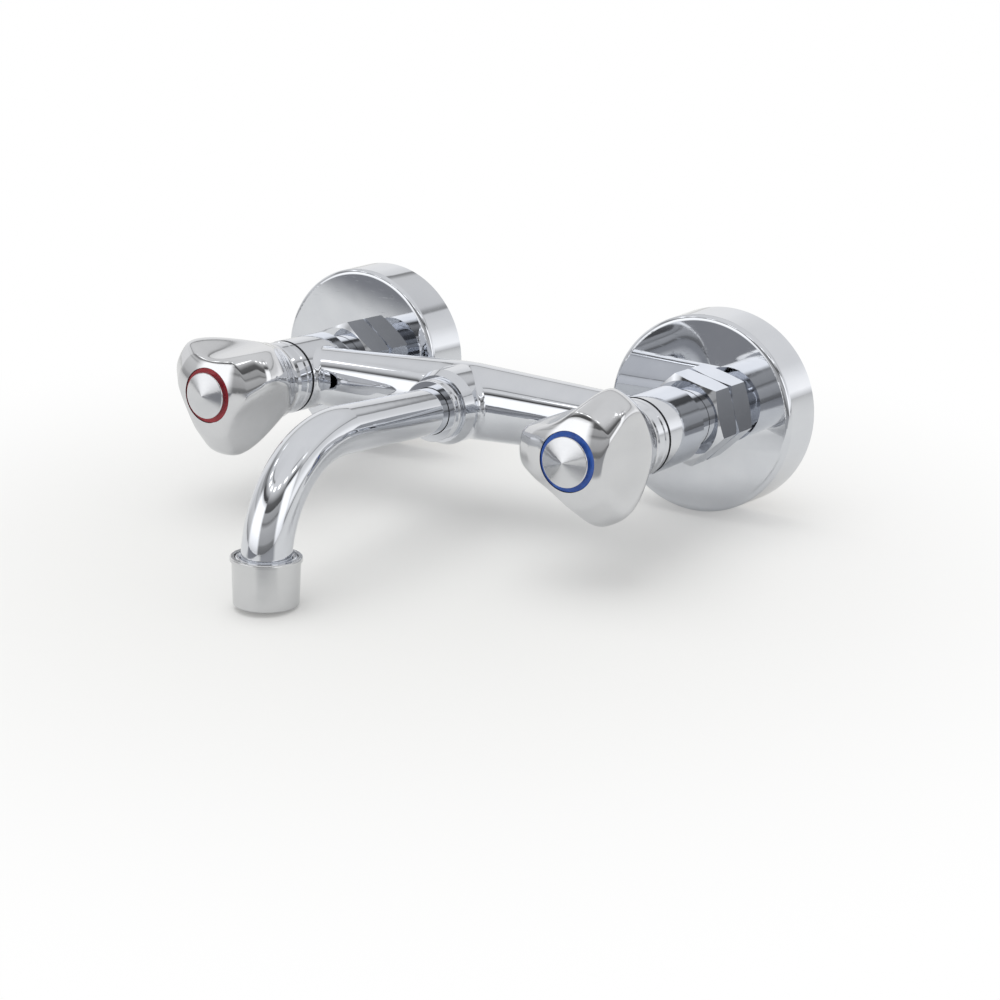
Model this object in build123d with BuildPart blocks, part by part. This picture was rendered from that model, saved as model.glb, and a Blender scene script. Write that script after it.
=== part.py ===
from build123d import *
import os
from math import cos, radians, tan

# Wall-mounted two-handle ablution mixer tap with a fixed bent spout.
# Millimetres. The wall is the plane Y = 0, the tap stands out from it along -Y and +Z is up.
# X runs from the hot inlet to the cold inlet. Every "out" value is a distance from the wall.

# Layout
inlet_spacing = 150.0
sides = {"hot": -1.0, "cold": 1.0}
fit_gap = 0.05

# Wall flange, a deep pressed cup
flange_depth = 19.0
flange_rim_radius = 36.2
flange_taper = 0.6
flange_wall = 1.2
flange_corner = 2.0
flange_hole_gap = 0.3

# Offset union between the wall pipe and the tap
tail_radius = 10.48
tail_length = 13.0
tail_key_flats = 12.0
union_offset = 8.0
head_radius = 13.22
head_length = 12.0
head_reach = 5.2
water_radius = 6.5

# Union nut, its sealing washer and the wire ring that keeps it on the inlet
nut_flats = 29.0
nut_height = 12.5
nut_lip = 2.8
nut_chamfer = 1.3
nut_turn = {"hot": 22.0, "cold": 45.0}
nut_thread_gap = 0.1
washer_thickness = 2.0
ring_wire = 1.6
ring_sink = 0.7

# Cast body: two valve barrels, a waisted bar between them and a hub for the spout
spigot_radius = 10.9
spigot_show = 10.0
barrel_radius = 13.8
barrel_half = 12.0
bar_end_radius = 10.4
bar_middle_radius = 14.0
bar_crown_radius = 90.0
hub_radius = 13.5
hub_nose_radius = 12.0
hub_shoulder = 16.0
hub_length = 20.0
hub_blend = 2.4
gland_radius = 9.7
gland_depth = 7.5
body_blend = 2.6

# Valve seat and chamber
seat_radius = 5.5
seat_lip_width = 1.2
seat_lip_height = 1.0
seat_back = 3.5
chamber_radius = 9.6
gallery_radius = 6.0

# Bonnet that screws into the barrel
bonnet_thread_radius = 10.45
bonnet_thread_length = 8.7
bonnet_seal_thickness = 1.0
bonnet_flange_radius = 13.6
bonnet_flange_length = 7.5
bonnet_groove = 0.5
tower_radius = 8.2
tower_length = 10.0
guide_flats = 12.1

# Spindle, screwed into the jumper, which slides and doesn't turn
spindle_radius = 4.5
spindle_collar_radius = 5.9
spindle_collar_length = 2.4
spindle_screw_radius = 3.9
spline_radius = 4.0
spline_depth = 0.4
spline_teeth = 20
spline_length = 10.5
seal_wire = 1.4
circlip_thickness = 1.0
circlip_radius = 6.4

# Jumper and its rubber
jumper_lift = 3.0
jumper_length = 8.5
jumper_plate_radius = 7.8
jumper_plate = 1.2
jumper_rubber_radius = 7.4
jumper_rubber = 3.0
jumper_stud_radius = 1.5
jumper_nut_flats = 5.5
jumper_nut_height = 1.6

# Three-lobed handle
handle_gap = 2.0
handle_length = 34.5
handle_skirt_radius = 14.6
handle_reach = 24.4
handle_flank = 14.0
handle_flank_lean = 6.5
handle_face_reach = 16.5
handle_face_radius = 34.0
handle_rim_depth = 9.0
handle_rim_round = 4.5
handle_flank_round = 2.0
handle_turn = {"hot": 29.0, "cold": 59.5}
handle_bore_gap = 1.2
handle_web = 3.0

# Cap and colour ring in the handle's face
cap_radius = 8.35
cap_edge = 1.7
cap_edge_round = 0.4
cap_cone = 1.6
cap_tip_radius = 0.25
cap_stem_radius = 7.9
cap_stem_wall = 1.1
cap_stem_slot = 2.2
cap_stem_gap = 2.7
index_radius = 10.0
index_thickness = 1.5
index_sink = 0.3
screw_radius = 1.95
screw_head_radius = 3.6
screw_head = 2.5
screw_slot_length = 4.2
screw_slot_width = 0.9
screw_slot_depth = 1.4
screw_reach = 9.5

# Spout tube, its screwed collar and seal
tube_radius = 8.3
tube_bore = 6.7
tube_seat_depth = 5.0
tube_flange = 0.8
tube_flange_radius = 9.3
spout_reach = 168.8
spout_rise = 2.5
spout_bend = 37.0
spout_seal_wire = 1.2
collar_radius = 11.0
collar_length = 5.0
collar_bead = 0.5

# Aerator at the outlet
outlet_drop = 48.0
aerator_height = 16.0
aerator_top_radius = 11.2
aerator_foot_radius = 10.7
aerator_lip = 0.5
aerator_lip_height = 1.3
aerator_wall = 1.0
nozzle_length = 8.6
aerator_seal_thickness = 1.4
insert_height = 3.8
insert_hole = 0.75
insert_hole_spacing = 2.3

# Places worked out from the values above, measured out from the wall
inlet_x = inlet_spacing / 2
head_end = flange_depth + head_reach
head_start = head_end - head_length
spigot_end = head_end + washer_thickness
nut_front = flange_depth + nut_height
nut_bore = head_radius + nut_thread_gap
nut_lip_back = nut_front - nut_lip
ring_groove_radius = spigot_radius - ring_sink
ring_middle = nut_lip_back - ring_wire / 2
barrel_back = nut_front + spigot_show
bar_out = barrel_back + barrel_half
barrel_front = bar_out + barrel_half
seat_out = bar_out - seat_back
chamber_floor = seat_out - seat_lip_height
bonnet_end = barrel_front - bonnet_thread_length
bonnet_seat = barrel_front + bonnet_seal_thickness
bonnet_front = bonnet_seat + bonnet_flange_length
tower_front = bonnet_front + tower_length
jumper_back = seat_out + jumper_rubber
jumper_front = jumper_back + jumper_length
jumper_flats = guide_flats - 4 * fit_gap
plate_clear = jumper_back + jumper_plate + jumper_lift + 0.3
collar_back = jumper_front + jumper_lift + 0.4
collar_front = collar_back + spindle_collar_length
spindle_screw_end = jumper_back + jumper_plate + jumper_lift + 0.5
spline_back = tower_front + circlip_thickness + 1.5
spindle_front = spline_back + spline_length
seal_middle = spindle_radius - seal_wire / 2 + fit_gap / 2
handle_back = bonnet_front + handle_gap
handle_front = handle_back + handle_length
handle_floor = spline_back + fit_gap
web_back = spindle_front + 0.5
web_front = web_back + handle_web
index_back = handle_front - index_sink - index_thickness
index_front = index_back + index_thickness
cap_stem_length = index_front - web_front - cap_stem_gap
hub_front = bar_out + hub_length
gland_floor = hub_front - gland_depth
tube_back = gland_floor - tube_seat_depth
tube_flange_back = gland_floor + spout_seal_wire
tube_flange_front = tube_flange_back + tube_flange
collar_front_out = hub_front + collar_length
aerator_top = aerator_height - outlet_drop
nozzle_radius = aerator_top_radius - aerator_wall
nozzle_top = aerator_top - 1.0
nozzle_end = nozzle_top - nozzle_length
insert_top = nozzle_end - aerator_seal_thickness
insert_radius = nozzle_radius - 0.6


def lengthwise(x):
    """Plane for turned profiles: its x is the radius and its y the distance out from the wall."""
    return Plane(origin=(x, 0, 0), x_dir=(1, 0, 0), z_dir=(0, 0, -1))


def facing(x, out):
    """Plane across a valve axis, seen from the front: its normal points away from the wall."""
    return Plane(origin=(x, -out, 0), x_dir=(1, 0, 0), z_dir=(0, -1, 0))


def turning_axis(x):
    """Axis straight out from the wall."""
    return Axis((x, 0, 0), (0, -1, 0))


def upright(height):
    """Level plane through the outlet's axis."""
    return Plane(origin=(0, -spout_reach, height))


def rims(piece, radius):
    """The round edges of a turned piece that have the given radius."""
    round_edges = piece.edges().filter_by(GeomType.CIRCLE)
    return round_edges.filter_by(lambda edge: abs(edge.radius - radius) < 0.01)


def make_wall_flange(x):
    front_radius = flange_rim_radius - flange_taper
    with BuildPart() as wall_flange:
        with BuildSketch(lengthwise(x)):
            with BuildLine():
                Polyline(
                    (0, 0),
                    (flange_rim_radius, 0),
                    (front_radius, flange_depth),
                    (0, flange_depth),
                    close=True,
                )
            make_face()
        revolve(axis=turning_axis(x))
        front_edge = wall_flange.edges().group_by(Axis.Y)[0]
        fillet(front_edge, radius=flange_corner)
        back_face = wall_flange.faces().sort_by(Axis.Y)[-1]
        offset(amount=-flange_wall, openings=back_face)
        with Locations(facing(x, flange_depth)):
            Hole(radius=head_radius + flange_hole_gap, depth=2 * flange_wall)
    return wall_flange


def make_s_union(x):
    with BuildPart() as s_union:
        with BuildSketch(facing(x, head_start)):
            Circle(head_radius)
        extrude(amount=head_length)
        chamfer(s_union.edges().group_by(Axis.Y)[0], length=0.8)
        with BuildSketch(facing(x, head_start)):
            Circle(head_radius)
        with BuildSketch(facing(x, 2.0)):
            with Locations((0, -union_offset)):
                Circle(tail_radius)
        loft()
        with BuildSketch(facing(x, 2.0)):
            with Locations((0, -union_offset)):
                Circle(tail_radius)
        extrude(amount=-(tail_length + 2.0))
        chamfer(s_union.edges().group_by(Axis.Y)[-1], length=0.8)
        with BuildSketch(facing(x, head_end)):
            Circle(water_radius)
        with BuildSketch(facing(x, 0)):
            with Locations((0, -union_offset)):
                Circle(water_radius)
        loft(mode=Mode.SUBTRACT)
        with BuildSketch(facing(x, 0)):
            with Locations((0, -union_offset)):
                RegularPolygon(radius=tail_key_flats / 2, side_count=6, major_radius=False)
        extrude(amount=-tail_length, mode=Mode.SUBTRACT)
    return s_union


def make_union_nut(x, turn):
    corner = nut_flats / 2 / cos(radians(30))
    with BuildPart() as union_nut:
        with BuildSketch(facing(x, flange_depth)):
            RegularPolygon(radius=nut_flats / 2, side_count=6, major_radius=False, rotation=turn)
        extrude(amount=nut_height)
        with BuildSketch(lengthwise(x)):
            with BuildLine():
                Polyline(
                    (0, flange_depth),
                    (corner - 2 * nut_chamfer, flange_depth),
                    (corner, flange_depth + nut_chamfer),
                    (corner, nut_front - nut_chamfer),
                    (corner - 2 * nut_chamfer, nut_front),
                    (0, nut_front),
                    close=True,
                )
            make_face()
        revolve(axis=turning_axis(x), mode=Mode.INTERSECT)
        with Locations(facing(x, nut_lip_back)):
            Hole(radius=spigot_radius + 2 * fit_gap)
        with BuildSketch(facing(x, flange_depth)):
            Circle(nut_bore)
        extrude(amount=nut_lip_back - flange_depth, mode=Mode.SUBTRACT)
    return union_nut


def make_union_washer(x):
    with BuildPart() as union_washer:
        with BuildSketch(facing(x, head_end)):
            Circle(nut_bore - 0.6)
            Circle(water_radius + 0.5, mode=Mode.SUBTRACT)
        extrude(amount=washer_thickness)
    return union_washer


def make_nut_ring(x):
    with BuildPart() as nut_ring:
        with BuildSketch(lengthwise(x)):
            with Locations((ring_groove_radius + ring_wire / 2 + fit_gap, ring_middle)):
                Circle(ring_wire / 2)
        revolve(axis=turning_axis(x), revolution_arc=330)
    return nut_ring


def make_mixer_body():
    with BuildPart() as mixer_body:
        with BuildSketch(Plane.XY):
            with BuildLine():
                Polyline(
                    (-inlet_x, -bar_out),
                    (-inlet_x, -bar_out - bar_end_radius),
                    (0, -bar_out - bar_middle_radius),
                    (inlet_x, -bar_out - bar_end_radius),
                    (inlet_x, -bar_out),
                    close=True,
                )
            bar_profile = make_face()
            crown = bar_profile.vertices().sort_by(Axis.Y)[0]
            fillet(crown, radius=bar_crown_radius)
        revolve(axis=Axis((0, -bar_out, 0), (1, 0, 0)))
        for side in sides.values():
            x = side * inlet_x
            with BuildSketch(facing(x, barrel_back)):
                Circle(barrel_radius)
            extrude(amount=barrel_front - barrel_back)
            corners = mixer_body.edges(Select.NEW).filter_by(GeomType.CIRCLE, reverse=True)
            fillet(corners, radius=body_blend)
        with BuildSketch(lengthwise(0)):
            with BuildLine():
                Polyline(
                    (0, bar_out),
                    (hub_radius, bar_out),
                    (hub_radius, bar_out + hub_shoulder),
                    (hub_nose_radius, hub_front),
                    (0, hub_front),
                    close=True,
                )
            make_face()
        revolve(axis=turning_axis(0))
        hub_corner = mixer_body.edges(Select.NEW).filter_by(GeomType.CIRCLE, reverse=True)
        fillet(hub_corner, radius=hub_blend)
        for side in sides.values():
            x = side * inlet_x
            with BuildSketch(lengthwise(x)):
                with BuildLine():
                    Polyline(
                        (0, spigot_end),
                        (spigot_radius, spigot_end),
                        (spigot_radius, barrel_back),
                        (0, barrel_back),
                        close=True,
                    )
                make_face()
            revolve(axis=turning_axis(x))
            with BuildSketch(lengthwise(x)):
                with Locations((ring_groove_radius + ring_wire / 2, ring_middle)):
                    Circle(ring_wire / 2 + fit_gap)
            revolve(axis=turning_axis(x), mode=Mode.SUBTRACT)
            with BuildSketch(lengthwise(x)):
                with BuildLine():
                    Polyline(
                        (0, spigot_end),
                        (water_radius, spigot_end),
                        (water_radius, chamber_floor - 3.0),
                        (seat_radius, chamber_floor - 2.0),
                        (seat_radius, seat_out),
                        (seat_radius + seat_lip_width, seat_out),
                        (seat_radius + seat_lip_width, chamber_floor),
                        (chamber_radius, chamber_floor),
                        (chamber_radius, bonnet_end - 0.8),
                        (bonnet_thread_radius + fit_gap, bonnet_end - 0.8),
                        (bonnet_thread_radius + fit_gap, barrel_front),
                        (0, barrel_front),
                        close=True,
                    )
                make_face()
            revolve(axis=turning_axis(x), mode=Mode.SUBTRACT)
        gallery_length = inlet_spacing - 2 * chamber_radius + 1.0
        with Locations(Plane(origin=(0, -bar_out, 0), z_dir=(1, 0, 0))):
            Cylinder(radius=gallery_radius, height=gallery_length, mode=Mode.SUBTRACT)
        with BuildSketch(lengthwise(0)):
            with BuildLine():
                Polyline(
                    (0, bar_out),
                    (water_radius, bar_out),
                    (water_radius, tube_back),
                    (tube_radius + fit_gap, tube_back),
                    (tube_radius + fit_gap, gland_floor),
                    (gland_radius, gland_floor),
                    (gland_radius, hub_front),
                    (0, hub_front),
                    close=True,
                )
            make_face()
        revolve(axis=turning_axis(0), mode=Mode.SUBTRACT)
    return mixer_body


def make_bonnet_seal(x):
    with BuildPart() as bonnet_seal:
        with BuildSketch(facing(x, barrel_front)):
            Circle(bonnet_flange_radius - 0.5)
            Circle(bonnet_thread_radius + 2 * fit_gap, mode=Mode.SUBTRACT)
        extrude(amount=bonnet_seal_thickness)
    return bonnet_seal


def make_bonnet(x):
    groove_out = bonnet_seat + 2.5
    with BuildPart() as bonnet:
        with BuildSketch(lengthwise(x)):
            with BuildLine():
                Polyline(
                    (0, bonnet_end),
                    (bonnet_thread_radius, bonnet_end),
                    (bonnet_thread_radius, bonnet_seat),
                    (bonnet_flange_radius, bonnet_seat),
                    (bonnet_flange_radius, groove_out - bonnet_groove),
                    (bonnet_flange_radius - bonnet_groove, groove_out),
                    (bonnet_flange_radius, groove_out + bonnet_groove),
                    (bonnet_flange_radius, bonnet_front - 1.0),
                    (bonnet_flange_radius - 1.0, bonnet_front),
                    (tower_radius, bonnet_front),
                    (tower_radius, tower_front),
                    (0, tower_front),
                    close=True,
                )
            make_face()
        revolve(axis=turning_axis(x))
        with BuildSketch(lengthwise(x)):
            with BuildLine():
                Polyline(
                    (0, bonnet_end),
                    (jumper_plate_radius + 0.3, bonnet_end),
                    (jumper_plate_radius + 0.3, plate_clear),
                    (guide_flats / 2, plate_clear),
                    (guide_flats / 2, collar_front + 2 * fit_gap),
                    (spindle_radius + fit_gap, collar_front + 2 * fit_gap),
                    (spindle_radius + fit_gap, tower_front),
                    (0, tower_front),
                    close=True,
                )
            make_face()
        revolve(axis=turning_axis(x), mode=Mode.SUBTRACT)
        with BuildSketch(facing(x, plate_clear)):
            RegularPolygon(radius=guide_flats / 2, side_count=6, major_radius=False)
        extrude(amount=collar_back - fit_gap - plate_clear, mode=Mode.SUBTRACT)
    return bonnet


def spindle_seal_places():
    """Middles of the two spindle seals, spaced evenly along the bonnet's bore."""
    bore_length = tower_front - collar_front
    return [collar_front + bore_length * share for share in (1 / 3, 2 / 3)]


def spline_outline(radius):
    """Toothed outline of the spindle's spline, as the next shape of a sketch."""
    Circle(radius)
    with PolarLocations(radius, spline_teeth):
        RegularPolygon(radius=spline_depth, side_count=3, rotation=180, mode=Mode.SUBTRACT)


def make_spindle(x):
    seal_depth = spindle_radius - seal_middle + seal_wire / 2 + fit_gap
    with BuildPart() as spindle:
        with BuildSketch(lengthwise(x)):
            with BuildLine():
                Polyline(
                    (0, spindle_screw_end),
                    (spindle_screw_radius, spindle_screw_end),
                    (spindle_screw_radius, collar_back),
                    (spindle_collar_radius, collar_back),
                    (spindle_collar_radius, collar_front),
                    (spindle_radius, collar_front),
                    (spindle_radius, spline_back),
                    (0, spline_back),
                    close=True,
                )
            make_face()
            for out in spindle_seal_places():
                with Locations((spindle_radius, out)):
                    Rectangle(2 * seal_depth, seal_wire + 2 * fit_gap, mode=Mode.SUBTRACT)
            with Locations((spindle_radius, tower_front + 2 * fit_gap + circlip_thickness / 2)):
                Rectangle(1.2, circlip_thickness + fit_gap, mode=Mode.SUBTRACT)
        revolve(axis=turning_axis(x))
        with BuildSketch(facing(x, spline_back)):
            spline_outline(spline_radius)
        extrude(amount=spline_length)
        with Locations(facing(x, spindle_front)):
            Hole(radius=screw_radius + fit_gap, depth=screw_reach)
    return spindle


def make_spindle_seals(x):
    with BuildPart() as spindle_seals:
        for out in spindle_seal_places():
            with BuildSketch(lengthwise(x)):
                with Locations((seal_middle, out)):
                    Circle(seal_wire / 2)
            revolve(axis=turning_axis(x))
    return spindle_seals


def make_circlip(x):
    with BuildPart() as circlip:
        with BuildSketch(facing(x, tower_front + 2 * fit_gap)):
            Circle(circlip_radius)
            Circle(spindle_radius - 0.55, mode=Mode.SUBTRACT)
            with Locations((0, -circlip_radius)):
                Rectangle(2.6, 2 * circlip_radius, mode=Mode.SUBTRACT)
        extrude(amount=circlip_thickness)
    return circlip


def make_jumper(x):
    with BuildPart() as jumper:
        with BuildSketch(facing(x, jumper_back)):
            Circle(jumper_plate_radius)
        extrude(amount=jumper_plate)
        with BuildSketch(facing(x, jumper_back)):
            RegularPolygon(radius=jumper_flats / 2, side_count=6, major_radius=False)
        extrude(amount=jumper_length)
        with BuildSketch(facing(x, jumper_back)):
            Circle(jumper_stud_radius)
        extrude(amount=-(jumper_rubber + jumper_nut_height + 0.4))
        with Locations(facing(x, jumper_front)):
            Hole(radius=spindle_screw_radius + fit_gap, depth=jumper_length - jumper_plate)
    return jumper


def make_jumper_rubber(x):
    with BuildPart() as jumper_rubber_disc:
        with BuildSketch(facing(x, seat_out)):
            Circle(jumper_rubber_radius)
            Circle(jumper_stud_radius + fit_gap, mode=Mode.SUBTRACT)
        extrude(amount=jumper_rubber)
    return jumper_rubber_disc


def make_jumper_nut(x):
    with BuildPart() as jumper_nut:
        with BuildSketch(facing(x, seat_out)):
            RegularPolygon(radius=jumper_nut_flats / 2, side_count=6, major_radius=False)
            Circle(jumper_stud_radius + fit_gap, mode=Mode.SUBTRACT)
        extrude(amount=-jumper_nut_height)
    return jumper_nut


def make_handle(x, turn):
    """A turned knob that flares to a thick rim, cut by three leaning flanks into three lobes."""
    flare = handle_reach - handle_skirt_radius
    rim_front = handle_front - handle_rim_depth
    rim_length = rim_front - handle_back
    dome_middle = handle_front - (handle_face_radius**2 - index_radius**2) ** 0.5
    dome_front = dome_middle + handle_face_radius
    face_edge = dome_middle + (handle_face_radius**2 - handle_face_reach**2) ** 0.5
    flank_back = handle_flank + rim_length * tan(radians(handle_flank_lean))
    bore_radius = tower_radius + handle_bore_gap
    with BuildPart() as handle:
        with BuildSketch(lengthwise(x)):
            with BuildLine():
                Line((0, handle_back), (handle_skirt_radius, handle_back))
                Spline(
                    (handle_skirt_radius, handle_back),
                    (handle_skirt_radius + 0.25 * flare, handle_back + 0.28 * rim_length),
                    (handle_skirt_radius + 0.7 * flare, handle_back + 0.51 * rim_length),
                    (handle_skirt_radius + 0.94 * flare, handle_back + 0.73 * rim_length),
                    (handle_reach, rim_front),
                    tangents=((0.2, 1), (0, 1)),
                )
                Line((handle_reach, rim_front), (handle_face_reach, face_edge))
                RadiusArc(
                    (handle_face_reach, face_edge),
                    (0, dome_front),
                    -handle_face_radius,
                )
                Line((0, dome_front), (0, handle_back))
            profile = make_face()
            rim_corner = profile.vertices().sort_by(Axis.X)[-1]
            fillet(rim_corner, radius=handle_rim_round)
        revolve(axis=turning_axis(x))
        with BuildSketch(facing(x, handle_back)):
            RegularPolygon(radius=flank_back, side_count=3, major_radius=False, rotation=turn)
        extrude(amount=1.5 * handle_length, taper=handle_flank_lean, mode=Mode.INTERSECT)
        back_and_flanks = handle.faces().filter_by(GeomType.PLANE).sort_by(Axis.Y)
        fillet(back_and_flanks[:3].edges(), radius=handle_flank_round)
        with BuildSketch(lengthwise(x)):
            with BuildLine():
                Polyline(
                    (0, handle_back),
                    (bore_radius, handle_back),
                    (bore_radius, handle_floor),
                    (0, handle_floor),
                    close=True,
                )
            make_face()
            with BuildLine():
                Polyline(
                    (0, web_front),
                    (cap_stem_radius + 2 * fit_gap, web_front),
                    (cap_stem_radius + 2 * fit_gap, index_back),
                    (index_radius + 2 * fit_gap, index_back),
                    (index_radius + 2 * fit_gap, dome_front + index_thickness),
                    (0, dome_front + index_thickness),
                    close=True,
                )
            make_face()
        revolve(axis=turning_axis(x), mode=Mode.SUBTRACT)
        with BuildSketch(facing(x, handle_floor)):
            spline_outline(spline_radius + fit_gap)
        extrude(amount=web_back - handle_floor, mode=Mode.SUBTRACT)
        with Locations(facing(x, web_front)):
            Hole(radius=screw_radius + 2 * fit_gap, depth=2 * handle_web)
    return handle


def make_handle_screw(x):
    with BuildPart() as handle_screw:
        with BuildSketch(facing(x, web_front)):
            Circle(screw_head_radius)
        extrude(amount=screw_head)
        fillet(handle_screw.edges().group_by(Axis.Y)[0], radius=0.8)
        with BuildSketch(facing(x, web_front)):
            Circle(screw_radius)
        extrude(amount=-(handle_web + screw_reach - 1.5))
        with BuildSketch(facing(x, web_front + screw_head)):
            Rectangle(screw_slot_length, screw_slot_width)
            Rectangle(screw_slot_width, screw_slot_length)
        extrude(amount=-screw_slot_depth, mode=Mode.SUBTRACT)
    return handle_screw


def make_index_ring(x):
    with BuildPart() as index_ring:
        with BuildSketch(facing(x, index_back)):
            Circle(index_radius)
            Circle(cap_stem_radius + 3 * fit_gap, mode=Mode.SUBTRACT)
        extrude(amount=index_thickness)
        fillet(index_ring.edges().group_by(Axis.Y)[0].sort_by(SortBy.LENGTH)[-1], radius=0.25)
    return index_ring


def make_cap(x):
    edge_front = index_front + cap_edge
    with BuildPart() as cap:
        with BuildSketch(lengthwise(x)):
            with BuildLine():
                Polyline(
                    (0, index_front),
                    (cap_radius, index_front),
                    (cap_radius, edge_front),
                    (cap_tip_radius, edge_front + cap_cone),
                    (0, edge_front + cap_cone),
                    close=True,
                )
            make_face()
        revolve(axis=turning_axis(x))
        fillet(rims(cap, cap_radius).sort_by(Axis.Y)[0], radius=cap_edge_round)
        with BuildSketch(facing(x, index_front)):
            Circle(cap_stem_radius)
            Circle(cap_stem_radius - cap_stem_wall, mode=Mode.SUBTRACT)
            Rectangle(cap_stem_slot, 2 * cap_radius, mode=Mode.SUBTRACT)
            Rectangle(2 * cap_radius, cap_stem_slot, mode=Mode.SUBTRACT)
        extrude(amount=-cap_stem_length)
    return cap


def make_spout_tube():
    corner_height = (spout_reach - collar_front_out) * tan(radians(spout_rise))
    with BuildPart() as spout_tube:
        with BuildLine() as spout_path:
            FilletPolyline(
                (0, -tube_back, 0),
                (0, -collar_front_out, 0),
                (0, -spout_reach, corner_height),
                (0, -spout_reach, nozzle_end),
                radius=spout_bend,
            )
        with BuildSketch(facing(0, tube_back)):
            Circle(tube_radius)
        sweep(path=spout_path.line)
        with BuildSketch(facing(0, tube_flange_back)):
            Circle(tube_flange_radius)
        extrude(amount=tube_flange)
        with BuildSketch(upright(nozzle_end)):
            Circle(nozzle_radius)
        extrude(amount=nozzle_length)
        with BuildSketch(facing(0, tube_back)):
            Circle(tube_bore)
        sweep(path=spout_path.line, mode=Mode.SUBTRACT)
    return spout_tube


def make_spout_seal():
    with BuildPart() as spout_seal:
        with BuildSketch(lengthwise(0)):
            seal_radius = tube_radius + fit_gap + spout_seal_wire / 2
            with Locations((seal_radius, gland_floor + spout_seal_wire / 2)):
                Circle(spout_seal_wire / 2)
        revolve(axis=turning_axis(0))
    return spout_seal


def make_spout_collar():
    groove_out = (hub_front + collar_front_out) / 2
    with BuildPart() as spout_collar:
        with BuildSketch(lengthwise(0)):
            with BuildLine():
                Polyline(
                    (gland_radius - fit_gap, tube_flange_front),
                    (gland_radius - fit_gap, hub_front),
                    (collar_radius, hub_front),
                    (collar_radius, groove_out - collar_bead),
                    (collar_radius - collar_bead, groove_out),
                    (collar_radius, groove_out + collar_bead),
                    (collar_radius, collar_front_out),
                    (tube_radius + 4 * fit_gap, collar_front_out),
                    (tube_radius + 4 * fit_gap, tube_flange_front),
                    close=True,
                )
            make_face()
        revolve(axis=turning_axis(0))
        fillet(rims(spout_collar, collar_radius), radius=0.4)
    return spout_collar


def make_aerator_housing():
    with BuildPart() as aerator_housing:
        with BuildSketch(upright(-outlet_drop)):
            Circle(aerator_foot_radius)
        with BuildSketch(upright(aerator_top)):
            Circle(aerator_top_radius)
        loft()
        fillet(aerator_housing.edges().group_by(Axis.Z)[0], radius=0.6)
        with BuildSketch(upright(aerator_top - aerator_lip_height)):
            Circle(aerator_top_radius + aerator_lip)
        extrude(amount=aerator_lip_height)
        fillet(aerator_housing.edges().group_by(Axis.Z)[-1], radius=0.5)
        with BuildSketch(upright(aerator_top)):
            Circle(nozzle_radius + fit_gap)
        extrude(amount=insert_top - insert_height - aerator_top, mode=Mode.SUBTRACT)
        with BuildSketch(upright(-outlet_drop)):
            Circle(insert_radius - 0.8)
        extrude(amount=outlet_drop / 4, mode=Mode.SUBTRACT)
    return aerator_housing


def make_aerator_seal():
    with BuildPart() as aerator_seal:
        with BuildSketch(upright(insert_top)):
            Circle(insert_radius)
            Circle(tube_bore + 0.3, mode=Mode.SUBTRACT)
        extrude(amount=aerator_seal_thickness)
    return aerator_seal


def make_aerator_insert():
    with BuildPart() as aerator_insert:
        with BuildSketch(upright(insert_top)):
            Circle(insert_radius)
            Circle(insert_hole, mode=Mode.SUBTRACT)
            for ring in (1, 2, 3):
                with PolarLocations(ring * insert_hole_spacing, 6 * ring):
                    Circle(insert_hole, mode=Mode.SUBTRACT)
        extrude(amount=-insert_height)
    return aerator_insert


def save(piece, label):
    """Names a finished piece and writes it as its own file."""
    piece.part.label = label
    export_step(piece.part, "parts/" + label + ".step")


def main():
    os.makedirs("parts", exist_ok=True)
    save(make_mixer_body(), "mixer_body")
    save(make_spout_tube(), "spout_tube")
    save(make_spout_seal(), "spout_seal")
    save(make_spout_collar(), "spout_collar")
    save(make_aerator_housing(), "aerator_housing")
    save(make_aerator_seal(), "aerator_seal")
    save(make_aerator_insert(), "aerator_insert")
    for name, side in sides.items():
        x = side * inlet_x
        save(make_wall_flange(x), name + "_wall_flange")
        save(make_s_union(x), name + "_s_union")
        save(make_union_nut(x, nut_turn[name]), name + "_union_nut")
        save(make_union_washer(x), name + "_union_washer")
        save(make_nut_ring(x), name + "_nut_ring")
        save(make_bonnet_seal(x), name + "_bonnet_seal")
        save(make_bonnet(x), name + "_bonnet")
        save(make_jumper(x), name + "_jumper")
        save(make_jumper_rubber(x), name + "_jumper_rubber")
        save(make_jumper_nut(x), name + "_jumper_nut")
        save(make_spindle(x), name + "_spindle")
        save(make_spindle_seals(x), name + "_spindle_seals")
        save(make_circlip(x), name + "_circlip")
        save(make_handle(x, handle_turn[name]), name + "_handle")
        save(make_handle_screw(x), name + "_handle_screw")
        save(make_index_ring(x), name + "_index_ring")
        save(make_cap(x), name + "_cap")


main()
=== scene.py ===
import math
import bmesh
import bpy
import numpy as np
from mathutils import Matrix, Vector


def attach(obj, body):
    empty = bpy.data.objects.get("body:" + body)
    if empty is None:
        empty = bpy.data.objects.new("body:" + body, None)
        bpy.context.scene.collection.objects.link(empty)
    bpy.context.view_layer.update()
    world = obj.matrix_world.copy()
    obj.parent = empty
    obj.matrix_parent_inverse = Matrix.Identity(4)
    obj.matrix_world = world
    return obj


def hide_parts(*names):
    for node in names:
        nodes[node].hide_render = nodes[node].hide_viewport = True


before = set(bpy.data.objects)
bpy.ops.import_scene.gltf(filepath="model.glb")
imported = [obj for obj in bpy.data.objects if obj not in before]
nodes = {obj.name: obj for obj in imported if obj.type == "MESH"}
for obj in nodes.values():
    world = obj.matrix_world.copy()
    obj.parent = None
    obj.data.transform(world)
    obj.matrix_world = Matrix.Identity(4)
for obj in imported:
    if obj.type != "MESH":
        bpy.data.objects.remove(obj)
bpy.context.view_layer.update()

MM = 0.001
sides = {"hot": -1.0, "cold": 1.0}

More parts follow.
